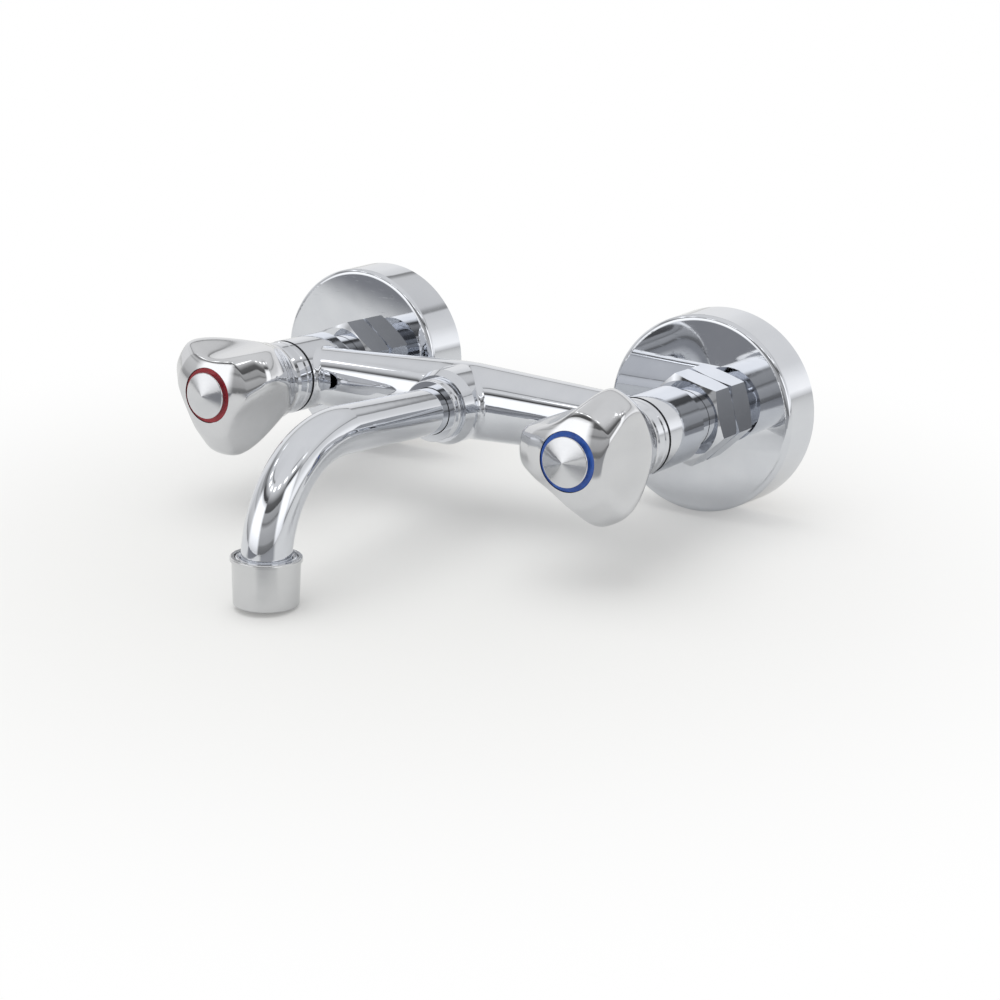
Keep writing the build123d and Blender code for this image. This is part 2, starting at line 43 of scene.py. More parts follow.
# Sizes of the tap in millimetres, as in the part's source or worked out from it
inlet_x = 75.0
flange_rim_radius = 36.2
outlet_drop = 48.0
aerator_foot_radius = 10.7
spout_reach = 168.8
union_offset = 8.0
tube_radius = 8.3
outlet_bore_radius = 10.2
outlet_lip_seat = -33.0
outlet_lip_bead = 0.9

# The G 1/2 thread of the unions' tails: 14 turns to the inch, and its depth is 0.64 of its pitch
thread_pitch = 25.4 / 14
thread_depth = 0.64 * thread_pitch
thread_top = 10.45
thread_start = -1.6
thread_end = 12.4
thread_roundness = 0.8
thread_wall = 0.6
tail_undercut = 1.0

# Places along a handle, measured out from the wall, and its radii, as in the part's source. The two
# reaches and the flank differ from it by up to 0.2 mm, to suit the softer edges here.
handle_back = 76.0
handle_floor = 86.55
handle_web_back = 97.5
handle_web_front = 100.5
handle_rim = 101.5
handle_front = 110.5
index_back = 108.7
index_radius = 10.1
cap_seat_radius = 8.0
screw_hole_radius = 2.05
spline_hole_radius = 4.05
handle_skirt_radius = 14.6
handle_reach = 24.35
handle_face_reach = 16.3
handle_face_radius = 34.0
handle_bore_radius = 9.4
handle_flank = 14.1
handle_flank_lean = 6.5
handle_turn = {"hot": 29.0, "cold": 59.5}

# The faces of a new piece look smooth together unless they meet at more than this angle
crease_angle = math.radians(38)

# The tap lies on its flange rims and on the aerator's foot, so the floor falls gently towards the front
foot_back = spout_reach - aerator_foot_radius
floor_fall = (outlet_drop - flange_rim_radius) / foot_back


def linear(hex_colour):
    """An sRGB hex colour as linear light, with full alpha."""
    parts = [int(hex_colour[at:at + 2], 16) / 255 for at in (0, 2, 4)]
    light = [part / 12.92 if part <= 0.04045 else ((part + 0.055) / 1.055) ** 2.4 for part in parts]
    return (*light, 1.0)


def add_node(tree, kind, inputs=None, **settings):
    """Adds a node with its settings.

    Each input is a number, an output to link, or a node, which stands for its first enabled output.
    """
    node = tree.nodes.new(kind)
    for name, setting in settings.items():
        setattr(node, name, setting)
    for name, value in (inputs or {}).items():
        if isinstance(value, bpy.types.Node):
            value = next(output for output in value.outputs if output.enabled)
        if isinstance(value, bpy.types.NodeSocket):
            tree.links.new(value, node.inputs[name])
        else:
            node.inputs[name].default_value = value
    return node


def new_object(name, data):
    """Puts a mesh, a lamp or a camera into the scene."""
    made = bpy.data.objects.new(name, data)
    bpy.context.scene.collection.objects.link(made)
    return made


def new_material(name):
    """An empty material, and the object's own coordinates in it."""
    material = bpy.data.materials.new(name)
    material.use_nodes = True
    tree = material.node_tree
    tree.nodes.clear()
    return material, tree, add_node(tree, "ShaderNodeTexCoord").outputs["Object"]


def chrome_plate(name, light_hex, dark_hex, ripple_mm, ripple_height_mm, haze):
    """Chrome plate: a mirror with the ripple of the metal below, wiped smears, dried drops and hairlines."""
    smear_mm = 11.0
    smear_haze = 2.4 * haze
    drop_mm = 5.5
    drop_dullness = 0.05
    hairline_mm = 0.9
    hairline_dullness = 0.06
    hairline_depth_mm = 0.0006
    material, tree, place = new_material(name)
    ripple = add_node(tree, "ShaderNodeTexNoise", {
        "Vector": place, "Scale": 1 / (ripple_mm * MM), "Detail": 1.5, "Roughness": 0.55,
    })
    rippled = add_node(tree, "ShaderNodeBump", {"Height": ripple, "Distance": ripple_height_mm * MM})

    # Smears of a cloth that wiped along the spout: blots 11 mm wide and twice as long
    wiped = add_node(tree, "ShaderNodeMapping", {"Vector": place, "Scale": (1.0, 0.45, 1.0)})
    smears = add_node(tree, "ShaderNodeTexNoise", {
        "Vector": wiped, "Scale": 1 / (smear_mm * MM), "Detail": 5.0, "Roughness": 0.55,
    })
    cloudy = add_node(tree, "ShaderNodeMapRange", {
        "Value": smears, "From Min": 0.35, "From Max": 0.75, "To Min": haze, "To Max": smear_haze,
    }, interpolation_type="SMOOTHSTEP")
    plate = add_node(tree, "ShaderNodeMix", {
        "Factor": smears, "A": linear(light_hex), "B": linear(dark_hex),
    }, data_type="RGBA")

    # Thin rims of lime where small drops of water dried, one to each 5.5 mm
    drops = add_node(tree, "ShaderNodeTexVoronoi", {"Vector": place, "Scale": 1 / (drop_mm * MM)})
    rim_inside = add_node(tree, "ShaderNodeMapRange", {
        "Value": drops, "From Min": 0.10, "From Max": 0.14,
    }, interpolation_type="SMOOTHSTEP")
    rim_outside = add_node(tree, "ShaderNodeMapRange", {
        "Value": drops, "From Min": 0.15, "From Max": 0.20, "To Min": 1.0, "To Max": 0.0,
    }, interpolation_type="SMOOTHSTEP")
    drop_rims = add_node(tree, "ShaderNodeMath", {0: rim_inside, 1: rim_outside}, operation="MULTIPLY")
    limed = add_node(tree, "ShaderNodeMath", {
        0: drop_rims, 1: drop_dullness, 2: cloudy,
    }, operation="MULTIPLY_ADD")

    # Hairline scratches, drawn about 0.6 mm wide so that they show, and 7 mm long
    scoured = add_node(tree, "ShaderNodeMapping", {"Vector": place, "Scale": (0.12, 1.0, 1.6)})
    strokes = add_node(tree, "ShaderNodeTexNoise", {
        "Vector": scoured, "Scale": 1 / (hairline_mm * MM), "Detail": 2.0, "Roughness": 0.55,
    })
    hairlines = add_node(tree, "ShaderNodeMapRange", {
        "Value": strokes, "From Min": 0.64, "From Max": 0.72,
    }, interpolation_type="SMOOTHSTEP")
    scratched = add_node(tree, "ShaderNodeMath", {
        0: hairlines, 1: hairline_dullness, 2: limed,
    }, operation="MULTIPLY_ADD")
    relief = add_node(tree, "ShaderNodeBump", {
        "Height": hairlines, "Distance": hairline_depth_mm * MM, "Normal": rippled,
    })
    shader = add_node(tree, "ShaderNodeBsdfPrincipled", {
        "Metallic": 1.0, "Base Color": plate, "Roughness": scratched, "Normal": relief,
    })
    add_node(tree, "ShaderNodeOutputMaterial", {"Surface": shader})
    return material


# Cast brass, belt-ground, buffed and plated: edges of reflections waver a little over the bar
cast_chrome = chrome_plate(
    "buffed_chrome_plated_casting", "E0E2E6", "D0D3D9", ripple_mm=7.0, ripple_height_mm=0.016, haze=0.022)

# Drawn brass tube, bent and plated: long straight reflections, and faint waves round the bend
tube_chrome = chrome_plate(
    "drawn_chrome_plated_tube", "E2E4E8", "D3D6DC", ripple_mm=9.0, ripple_height_mm=0.022, haze=0.018)

# Pressed brass sheet, spun smooth and plated: the flattest mirror of all, with wide shallow waves
pressed_chrome = chrome_plate(
    "pressed_chrome_plated_sheet", "E0E2E6", "D0D3D9", ripple_mm=20.0, ripple_height_mm=0.030, haze=0.020)

# Turned bar stock, plated: crisp narrow reflections on the nuts, bonnets, collar and outlet's lip
turned_chrome = chrome_plate(
    "turned_chrome_plated_brass", "E1E3E7", "CED1D7", ripple_mm=5.0, ripple_height_mm=0.005, haze=0.026)

# Turned sleeve, matted before plating: satin chrome that blurs the room into soft upright bands
satin_chrome = chrome_plate(
    "satin_chrome_plated_sleeve", "DADBDC", "CBCCCE", ripple_mm=5.0, ripple_height_mm=0.005, haze=0.10)

# Die-cast zinc, tumbled and plated: broad soft reflections that drift over the handles' flanks
handle_chrome = chrome_plate(
    "tumbled_chrome_plated_zinc", "DDDEE0", "CFD0D3", ripple_mm=11.0, ripple_height_mm=0.030, haze=0.055)

# Moulded ABS, plated: a bright cone that is a little hazy, with small pits where it was handled
cap_chrome = chrome_plate(
    "chrome_plated_abs_cap", "DFE0E2", "C8CACE", ripple_mm=2.2, ripple_height_mm=0.016, haze=0.10)


def machined_brass(name, bright_hex, dull_hex, groove_mm):
    """Bare brass with the lathe's fine grooves round the axis, browned where it has been handled."""
    stain_mm = 7.0
    groove_depth_mm = 0.004
    material, tree, place = new_material(name)
    tarnish = add_node(tree, "ShaderNodeTexNoise", {
        "Vector": place, "Scale": 1 / (stain_mm * MM), "Detail": 5.0, "Roughness": 0.55,
    })
    browned = add_node(tree, "ShaderNodeMapRange", {
        "Value": tarnish, "From Min": 0.40, "From Max": 0.70,
    }, interpolation_type="SMOOTHSTEP")
    metal = add_node(tree, "ShaderNodeMix", {
        "Factor": browned, "A": linear(bright_hex), "B": linear(dull_hex),
    }, data_type="RGBA")
    dulled = add_node(tree, "ShaderNodeMapRange", {
        "Value": tarnish, "From Min": 0.30, "From Max": 0.75, "To Min": 0.20, "To Max": 0.42,
    }, interpolation_type="SMOOTHSTEP")
    grooves = add_node(tree, "ShaderNodeTexWave", {
        "Vector": place, "Scale": math.pi / (10 * groove_mm * MM), "Distortion": 0.6, "Detail": 2.0,
        "Detail Scale": 0.5,
    }, bands_direction="Y", wave_profile="TRI")
    relief = add_node(tree, "ShaderNodeBump", {
        "Height": grooves.outputs["Fac"], "Distance": groove_depth_mm * MM,
    })
    shader = add_node(tree, "ShaderNodeBsdfPrincipled", {
        "Metallic": 1.0, "Base Color": metal, "Roughness": dulled, "Normal": relief,
    })
    add_node(tree, "ShaderNodeOutputMaterial", {"Surface": shader})
    return material


# Turned brass of the unions: yellow, satin, with grooves drawn 0.3 mm apart so that they show
union_brass = machined_brass("turned_brass", "E0C27A", "B38E4E", groove_mm=0.3)

# Brass inside the valves: duller and browner, because water has stood on it
valve_brass = machined_brass("wetted_valve_brass", "C6A05A", "8A6636", groove_mm=0.2)


def drawn_steel(name):
    """Stainless steel wire and screws: a grey satin metal with short strokes drawn along the valve's axis."""
    stroke_mm = 0.5
    stroke_depth_mm = 0.003
    material, tree, place = new_material(name)
    drawn = add_node(tree, "ShaderNodeMapping", {"Vector": place, "Scale": (1.0, 0.2, 1.0)})
    strokes = add_node(tree, "ShaderNodeTexNoise", {
        "Vector": drawn, "Scale": 1 / (stroke_mm * MM), "Detail": 3.0, "Roughness": 0.55,
    })
    metal = add_node(tree, "ShaderNodeMix", {
        "Factor": strokes, "A": linear("BFC0C1"), "B": linear("94969A"),
    }, data_type="RGBA")
    satin = add_node(tree, "ShaderNodeMapRange", {
        "Value": strokes, "From Min": 0.3, "From Max": 0.7, "To Min": 0.18, "To Max": 0.36,
    }, interpolation_type="SMOOTHSTEP")
    relief = add_node(tree, "ShaderNodeBump", {"Height": strokes, "Distance": stroke_depth_mm * MM})
    shader = add_node(tree, "ShaderNodeBsdfPrincipled", {
        "Metallic": 1.0, "Base Color": metal, "Roughness": satin, "Normal": relief,
    })
    add_node(tree, "ShaderNodeOutputMaterial", {"Surface": shader})
    return material


def moulded_polymer(name, clear_hex, deep_hex, shine, ior, flow_mm, grain_mm, grain_height_mm):
    """Moulded rubber or plastic: a colour that drifts in flow marks, and rubbed patches in its gloss."""
    rubbed_shine = shine + 0.14
    material, tree, place = new_material(name)
    pressed = add_node(tree, "ShaderNodeMapping", {"Vector": place, "Scale": (1.0, 0.4, 1.0)})
    flow = add_node(tree, "ShaderNodeTexNoise", {
        "Vector": pressed, "Scale": 1 / (flow_mm * MM), "Detail": 3.0, "Roughness": 0.55,
    })
    streaks = add_node(tree, "ShaderNodeMapRange", {
        "Value": flow, "From Min": 0.3, "From Max": 0.7,
    }, interpolation_type="SMOOTHSTEP")
    colour = add_node(tree, "ShaderNodeMix", {
        "Factor": streaks, "A": linear(clear_hex), "B": linear(deep_hex),
    }, data_type="RGBA")
    grain = add_node(tree, "ShaderNodeTexNoise", {
        "Vector": place, "Scale": 1 / (grain_mm * MM), "Detail": 4.0, "Roughness": 0.55,
    })
    rubbed = add_node(tree, "ShaderNodeMapRange", {
        "Value": grain, "From Min": 0.35, "From Max": 0.75, "To Min": shine, "To Max": rubbed_shine,
    }, interpolation_type="SMOOTHSTEP")
    relief = add_node(tree, "ShaderNodeBump", {"Height": grain, "Distance": grain_height_mm * MM})
    shader = add_node(tree, "ShaderNodeBsdfPrincipled", {
        "IOR": ior, "Base Color": colour, "Roughness": rubbed, "Normal": relief,
    })
    add_node(tree, "ShaderNodeOutputMaterial", {"Surface": shader})
    return material


steel = drawn_steel("drawn_stainless_steel")

# EPDM rubber of the seals: black, dull and a little dusty, with the fine grain of its mould
rubber = moulded_polymer(
    "moulded_epdm_rubber", "1A1A1B", "343436", shine=0.58, ior=1.5, flow_mm=3.0, grain_mm=0.25,
    grain_height_mm=0.006)

# ABS of the colour rings: glossy, deep colour with rubbed patches
red_ring_plastic = moulded_polymer(
    "moulded_red_abs", "A31F2B", "7E1420", shine=0.16, ior=1.54, flow_mm=6.0, grain_mm=1.5,
    grain_height_mm=0.002)
blue_ring_plastic = moulded_polymer(
    "moulded_blue_abs", "2F63BE", "1C479C", shine=0.16, ior=1.54, flow_mm=6.0, grain_mm=1.5,
    grain_height_mm=0.002)

# Acetal of the aerator's insert: white and half matt
insert_plastic = moulded_polymer(
    "moulded_white_acetal", "E6E6E1", "D8D8D2", shine=0.34, ior=1.48, flow_mm=6.0, grain_mm=1.5,
    grain_height_mm=0.002)

finish_of = {
    "mixer_body": cast_chrome,
    "spout_tube": tube_chrome,
    "spout_collar": turned_chrome,
    "spout_seal": rubber,
    "aerator_housing": satin_chrome,
    "aerator_seal": rubber,
    "aerator_insert": insert_plastic,
}
finish_of_pair = {
    "wall_flange": pressed_chrome,
    "s_union": union_brass,
    "union_nut": turned_chrome,
    "union_washer": rubber,
    "nut_ring": steel,
    "bonnet_seal": rubber,
    "bonnet": turned_chrome,
    "jumper": valve_brass,
    "jumper_rubber": rubber,
    "jumper_nut": valve_brass,
    "spindle": valve_brass,
    "spindle_seals": rubber,
    "circlip": steel,
    "handle": handle_chrome,
    "handle_screw": steel,
    "cap": cap_chrome,
}
ring_plastic = {"hot": red_ring_plastic, "cold": blue_ring_plastic}


def dress_nodes():
    """Gives every solid its finish."""
    for side in sides:
        finish_of[side + "_index_ring"] = ring_plastic[side]
        for piece, finish in finish_of_pair.items():
            finish_of[side + "_" + piece] = finish
    for name, node in nodes.items():
        node.data.materials.clear()
        node.data.materials.append(finish_of[name])


def new_piece(name, points, faces, finish, body):
    """A closed mesh from whole arrays of points and faces, at the origin, that rides on a body."""
    mesh = bpy.data.meshes.new(name)
    mesh.from_pydata(points.tolist(), [], faces.tolist())
    shape = bmesh.new()
    shape.from_mesh(mesh)
    bmesh.ops.remove_doubles(shape, verts=shape.verts, dist=1e-7)
    bmesh.ops.recalc_face_normals(shape, faces=shape.faces)
    shape.to_mesh(mesh)
    shape.free()
    mesh.polygons.foreach_set("use_smooth", np.ones(len(mesh.polygons), dtype=bool))
    mesh.set_sharp_from_angle(angle=crease_angle)
    mesh.materials.append(finish)
    piece = new_object(name, mesh)
    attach(piece, body)
    return piece


def wrapped_faces(rows, columns):
    """Quads of a grid that closes on itself both ways."""
    row, column = np.meshgrid(np.arange(rows), np.arange(columns), indexing="ij")
    next_row = (row + 1) % rows
    next_column = (column + 1) % columns
    corners = (row * columns + column, next_row * columns + column,
               next_row * columns + next_column, row * columns + next_column)
    return np.stack(corners, axis=-1).reshape(-1, 4)


def make_tail_thread(x):
    """The pipe thread round a union's tail.

    For an angle round the tail and a place along it, the turns passed are place / pitch - angle / circle.
    The radius is the root's plus the depth times a rounded ridge of those turns: half of 1 - cos(2 pi turns),
    raised to the roundness. The ridge fades out over one turn at both ends. A second, inner wall closes the
    ring.
    """
    steps_round = 96
    steps_along = 112
    around = np.linspace(0, 2 * np.pi, steps_round, endpoint=False)
    along = np.linspace(thread_start, thread_end, steps_along)
    angle, place = np.meshgrid(around, along, indexing="xy")
    turns = place / thread_pitch - angle / (2 * np.pi)
    ridge = (0.5 - 0.5 * np.cos(2 * np.pi * turns)) ** thread_roundness
    fade = np.clip(np.minimum(place - thread_start, thread_end - place) / thread_pitch, 0, 1)
    root = thread_top - thread_depth
    outer = root + thread_depth * ridge * fade
    inner = np.full_like(outer[::-1], root - thread_wall)
    radius = np.vstack([outer, inner])
    place = np.vstack([place, place[::-1]])
    angle = np.vstack([angle, angle])
    points = np.stack(
        [x + radius * np.cos(angle), place, radius * np.sin(angle) - union_offset], axis=-1
    ).reshape(-1, 3) * MM
    return points, wrapped_faces(*radius.shape)


def make_threaded_union(side, x):
    """A copy of the union's solid with its tail turned down to the thread's root, and the thread round it."""
    name = side + "_s_union"
    shape = bmesh.new()
    shape.from_mesh(nodes[name].data)
    bmesh.ops.remove_doubles(shape, verts=shape.verts, dist=1e-6)
    mesh = bpy.data.meshes.new(side + "_threaded_union")
    shape.to_mesh(mesh)
    shape.free()
    places = np.empty(3 * len(mesh.vertices))
    mesh.vertices.foreach_get("co", places)
    places = places.reshape(-1, 3)
    across = places[:, [0, 2]] - np.array([x, -union_offset]) * MM
    reach = np.hypot(across[:, 0], across[:, 1])
    root = (thread_top - thread_depth) * MM
    turned_down = (places[:, 1] > (thread_start - tail_undercut) * MM) & (reach > root)
    across[turned_down] *= (root / reach[turned_down])[:, None]
    places[:, [0, 2]] = across + np.array([x, -union_offset]) * MM
    mesh.vertices.foreach_set("co", places.ravel())
    mesh.materials.clear()
    mesh.materials.append(union_brass)
    core = new_object(side + "_threaded_union", mesh)
    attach(core, "tap_body")
    points, faces = make_tail_thread(x)
    new_piece(side + "_tail_thread", points, faces, union_brass, "tap_body")
    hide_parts(name)


def make_outlet_lip():
    """The rolled lip that closes the gap between the spout's end and the aerator's sleeve.

    A ring: for an angle round the outlet and one round its section, the radius is the middle's plus half
    the width times a cosine, and the height is the seat's plus the bead's times a sine.
    """
    steps_round = 96
    steps_across = 24
    around, section = np.meshgrid(
        np.linspace(0, 2 * np.pi, steps_round, endpoint=False),
        np.linspace(0, 2 * np.pi, steps_across, endpoint=False), indexing="ij",
    )
    middle = (tube_radius + outlet_bore_radius) / 2
    half_width = (outlet_bore_radius - tube_radius) / 2
    radius = middle + half_width * np.cos(section)
    height = outlet_lip_seat + outlet_lip_bead * np.sin(section)
    points = np.stack([
        radius * np.cos(around), radius * np.sin(around) - spout_reach, height,
    ], axis=-1).reshape(-1, 3) * MM
    faces = wrapped_faces(*radius.shape)
    new_piece("outlet_rolled_lip", points, faces, turned_chrome, "tap_body")


def rounded_corner(before, corner, after, reach, steps):
    """Points of a parabola that starts a reach before a corner and ends a reach after it."""
    before, corner, after = (np.array(point) for point in (before, corner, after))
    start = corner + (before - corner) * reach / np.linalg.norm(before - corner)
    end = corner + (after - corner) * reach / np.linalg.norm(after - corner)
    way = np.linspace(0, 1, steps)[:, None]
    return (1 - way) ** 2 * start + 2 * way * (1 - way) * corner + way**2 * end


def handle_profile():
    """Radius and place of the turned knob, from its skirt over the rim to the seat of the colour ring.

    The flare's radius is skirt + (reach - skirt) * (1 - (1 - s^1.8)^3.2), where s runs from 0 to 1 along
    it. A parabola rounds the rim, a straight bevel leads to the face, and the face is part of a sphere.
    """
    rim_bend = 4.2
    crease_bend = 0.5
    share = np.linspace(0, 1 - rim_bend / (handle_rim - handle_back), 40)
    flare = np.column_stack([
        handle_skirt_radius + (handle_reach - handle_skirt_radius) * (1 - (1 - share**1.8) ** 3.2),
        handle_back + (handle_rim - handle_back) * share,
    ])
    dome_middle = handle_front - (handle_face_radius**2 - index_radius**2) ** 0.5
    dome_radii = np.linspace(handle_face_reach, index_radius, 14)
    dome = np.column_stack([dome_radii, dome_middle + (handle_face_radius**2 - dome_radii**2) ** 0.5])
    rim = rounded_corner(flare[-1], (handle_reach, handle_rim), dome[0], rim_bend, 22)[1:]
    crease = rounded_corner(rim[-1], dome[0], dome[4], crease_bend, 6)
    bevel = rim[-1] + (crease[0] - rim[-1]) * np.linspace(0, 1, 10)[1:-1, None]
    return np.vstack([flare, rim, bevel, crease, dome[2:]])


def make_handle(side, x):
    """A handle: a knob turned about the valve's axis, with three hollow flanks that leave blunt lobes.

    For an angle round the axis and a step along the profile, the radius is a soft minimum of the
    profile's radius R and each flank's distance F / cos(angle - flank)^h: the powers -p of all of them
    are added, and the sum is raised to -1/p, where p is the softness and h the hollow. An h of 1 would
    give flat flanks, and more hollows them. F grows from the rim to the skirt, because the flanks lean.
    The seats and bores behind close the profile, and are plain circles.
    """
    softness = 13.0
    hollow = 1.6
    steps_round = 252
    profile = handle_profile()
    inside = np.array([
        (index_radius, index_back), (cap_seat_radius, index_back), (cap_seat_radius, handle_web_front),
        (screw_hole_radius, handle_web_front), (screw_hole_radius, handle_web_back),
        (spline_hole_radius, handle_web_back), (spline_hole_radius, handle_floor),
        (handle_bore_radius, handle_floor), (handle_bore_radius, handle_back),
    ])
    around = np.linspace(0, 2 * np.pi, steps_round, endpoint=False)
    turned, angle = np.meshgrid(profile[:, 0], around, indexing="ij")
    place = np.broadcast_to(profile[:, 1][:, None], turned.shape)
    flank = handle_flank + (handle_rim - place) * math.tan(math.radians(handle_flank_lean))
    total = turned**-softness
    for third in range(3):
        turn = math.radians(handle_turn[side] + 60 + 120 * third)
        total = total + (np.clip(np.cos(angle - turn), 1e-3, None) ** hollow / flank) ** softness
    rings = (len(inside), steps_round)
    radius = np.vstack([total ** (-1 / softness), np.broadcast_to(inside[:, :1], rings)])
    place = np.vstack([place, np.broadcast_to(inside[:, 1:], rings)])
    angle = np.broadcast_to(around, radius.shape)
    points = np.stack(
        [x + radius * np.cos(angle), -place, radius * np.sin(angle)], axis=-1
    ).reshape(-1, 3) * MM
    faces = wrapped_faces(*radius.shape)
    body = side + "_handle_set"
    handle = new_piece(side + "_lobed_handle", points, faces, handle_chrome, body)
    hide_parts(side + "_handle")


def make_floor():
    """A plain pale floor, tilted so that the flange rims and the aerator's foot both touch it, and painted
    grey in places for reflections in metal only.
    """
    half = 3.0
    hair_gap = 0.0001
    corners = np.array([(-half, -half), (half, -half), (half, half), (-half, half)])
    heights = -flange_rim_radius * MM + corners[:, 1] * floor_fall - hair_gap
    mesh = bpy.data.meshes.new("floor")
    mesh.from_pydata(np.column_stack([corners, heights]).tolist(), [], [(0, 1, 2, 3)])
    floor = new_object("floor", mesh)
    material, tree, place = new_material("pale_painted_floor")
    seen = add_node(tree, "ShaderNodeLightPath")

    # On the left, the floor is painted grey for reflections only, past a line that slants across: a painted
    # reflection of a darker room beyond the floor, which metal sees and the camera does not. The line is
    # where the slant times x, less y, passes the edge's depth
    edge_slant = 0.8
    edge_starts, edge_ends = 0.12, 0.20
    left_starts, left_ends = -0.08, -0.12
    on_floor = add_node(tree, "ShaderNodeSeparateXYZ", {"Vector": place})
    slant = add_node(tree, "ShaderNodeMath", {
        0: on_floor.outputs["X"], 1: edge_slant,
    }, operation="MULTIPLY")
    depth = add_node(tree, "ShaderNodeMath", {0: slant, 1: on_floor.outputs["Y"]}, operation="SUBTRACT")
    past_edge = add_node(tree, "ShaderNodeMapRange", {
        "Value": depth, "From Min": edge_starts, "From Max": edge_ends,
    }, interpolation_type="SMOOTHSTEP")
    left = add_node(tree, "ShaderNodeMapRange", {
        "Value": on_floor.outputs["X"], "From Min": left_ends, "From Max": left_starts,
        "To Min": 1.0, "To Max": 0.0,
    }, interpolation_type="SMOOTHSTEP")
    edge = add_node(tree, "ShaderNodeMath", {0: past_edge, 1: left}, operation="MULTIPLY")

    # Metal also sees a painted reflection: a grey wedge, painted on the floor for reflections only, that
    # opens from under the outlet towards the front and the right. The floor is turned by the heading, and the
    # outlet's place, turned in the same way, is taken off.
    wedge_heading = math.radians(59)
    wedge_from_outlet = (-0.1414, 0.085, 0.0)
    wedge_middle = math.radians(8)
    wedge_core = math.radians(22)
    wedge_rim = math.radians(36)
    wedge_fade = 0.13
    wedge_darkness = 0.8
    turned = add_node(tree, "ShaderNodeMapping", {
        "Vector": place, "Rotation": (0.0, 0.0, wedge_heading), "Location": wedge_from_outlet,
    })
    from_outlet = add_node(tree, "ShaderNodeSeparateXYZ", {"Vector": turned})
    turn = add_node(tree, "ShaderNodeMath", {
        0: from_outlet.outputs["Y"], 1: from_outlet.outputs["X"],
    }, operation="ARCTAN2")
    off_middle = add_node(tree, "ShaderNodeMath", {0: turn, 1: wedge_middle}, operation="SUBTRACT")
    aside = add_node(tree, "ShaderNodeMath", {0: off_middle}, operation="ABSOLUTE")
    within = add_node(tree, "ShaderNodeMapRange", {
        "Value": aside, "From Min": wedge_core, "From Max": wedge_rim, "To Min": 1.0, "To Max": 0.0,
    }, interpolation_type="SMOOTHSTEP")
    beyond = add_node(tree, "ShaderNodeMapRange", {
        "Value": from_outlet.outputs["X"], "From Max": wedge_fade, "To Max": wedge_darkness,
    }, interpolation_type="SMOOTHSTEP")
    wedge = add_node(tree, "ShaderNodeMath", {0: within, 1: beyond}, operation="MULTIPLY")
    # Both painted reflections darken the floor's colour for glossy rays only, so metal shows painted grey
    # where the floor is pale to the camera
    dark = add_node(tree, "ShaderNodeMath", {0: edge, 1: wedge}, operation="MAXIMUM")
    painted_reflection_share = add_node(tree, "ShaderNodeMath", {
        0: dark, 1: seen.outputs["Is Glossy Ray"],
    }, operation="MULTIPLY")
    colour = add_node(tree, "ShaderNodeMix", {
        "Factor": painted_reflection_share, "A": linear("E6E6E4"), "B": linear("6E7076"),
    }, data_type="RGBA")
    paint = add_node(tree, "ShaderNodeBsdfDiffuse", {"Color": colour})

    # To the camera it fades to white by 300 mm from the tap's middle, and in metal it glows a little
    tap_middle = 0.10
    fade_starts, fade_ends = 0.06, 0.30
    least_white = 0.20
    glow_in_metal = 0.12
    centred = add_node(tree, "ShaderNodeMapping", {"Vector": place, "Location": (0.0, tap_middle, 0.0)})
    away = add_node(tree, "ShaderNodeVectorMath", {0: centred}, operation="LENGTH")
    fade = add_node(tree, "ShaderNodeMapRange", {
        "Value": away, "From Min": fade_starts, "From Max": fade_ends, "To Min": least_white,
    }, interpolation_type="SMOOTHSTEP")
    to_camera = add_node(tree, "ShaderNodeMath", {
        0: fade, 1: seen.outputs["Is Camera Ray"],
    }, operation="MULTIPLY")
    shown = add_node(tree, "ShaderNodeMath", {
        0: seen.outputs["Is Glossy Ray"], 1: glow_in_metal, 2: to_camera,
    }, operation="MULTIPLY_ADD")
    glow = add_node(tree, "ShaderNodeEmission", {"Color": (1, 1, 1, 1), "Strength": 1.0})
    both = add_node(tree, "ShaderNodeMixShader", {"Fac": shown, 1: paint, 2: glow})
    add_node(tree, "ShaderNodeOutputMaterial", {"Surface": both})
    mesh.materials.append(material)


def make_camera():
    """The photograph's camera, found from rims and edges whose real sizes are known."""
    place = Vector((376.6, -632.65, 148.68)) * MM
    yaw, pitch, roll = (math.radians(angle) for angle in (33.18, 15.68, 1.85))
    forward = Vector((-math.sin(yaw) * math.cos(pitch), math.cos(yaw) * math.cos(pitch), -math.sin(pitch)))
    level = Vector((math.cos(yaw), math.sin(yaw), 0.0))
    upright = level.cross(forward)
    right = math.cos(roll) * level + math.sin(roll) * upright
    up = -math.sin(roll) * level + math.cos(roll) * upright
    data = bpy.data.cameras.new("photograph")
    data.sensor_width = 36.0
    data.lens = 70.115
    data.shift_x = 0.04
    data.shift_y = 0.02
    data.clip_start = 0.01
    camera = new_object("photograph", data)
    camera.matrix_world = Matrix((
        (right.x, up.x, -forward.x, place.x),
        (right.y, up.y, -forward.y, place.y),
        (right.z, up.z, -forward.z, place.z),
        (0.0, 0.0, 0.0, 1.0),
    ))
    bpy.context.scene.camera = camera


def make_lamp(name, place, target, size, power):
    """A wide soft lamp that faces a point. The metal sees the room's windows, and not this lamp."""
    data = bpy.data.lights.new(name, "AREA")
    data.shape = "RECTANGLE"
    data.size, data.size_y = size
    data.energy = power
    lamp = new_object(name, data)
    way = Vector(target) - Vector(place)
    lamp.matrix_world = Matrix.Translation(place) @ way.to_track_quat("-Z", "Y").to_matrix().to_4x4()
    lamp.visible_glossy = False


def draw_greys(ramp, low, high, levels):
    """Sets a colour ramp to greys: each level is the light at one place between low and high."""
    stops = ramp.color_ramp.elements
    stops.remove(stops[1])
    for place, level in levels[1:]:
        stops.new((place - low) / (high - low)).color = (level, level, level, 1)
    stops[0].position = (levels[0][0] - low) / (high - low)
    stops[0].color = (levels[0][1], levels[0][1], levels[0][1], 1)


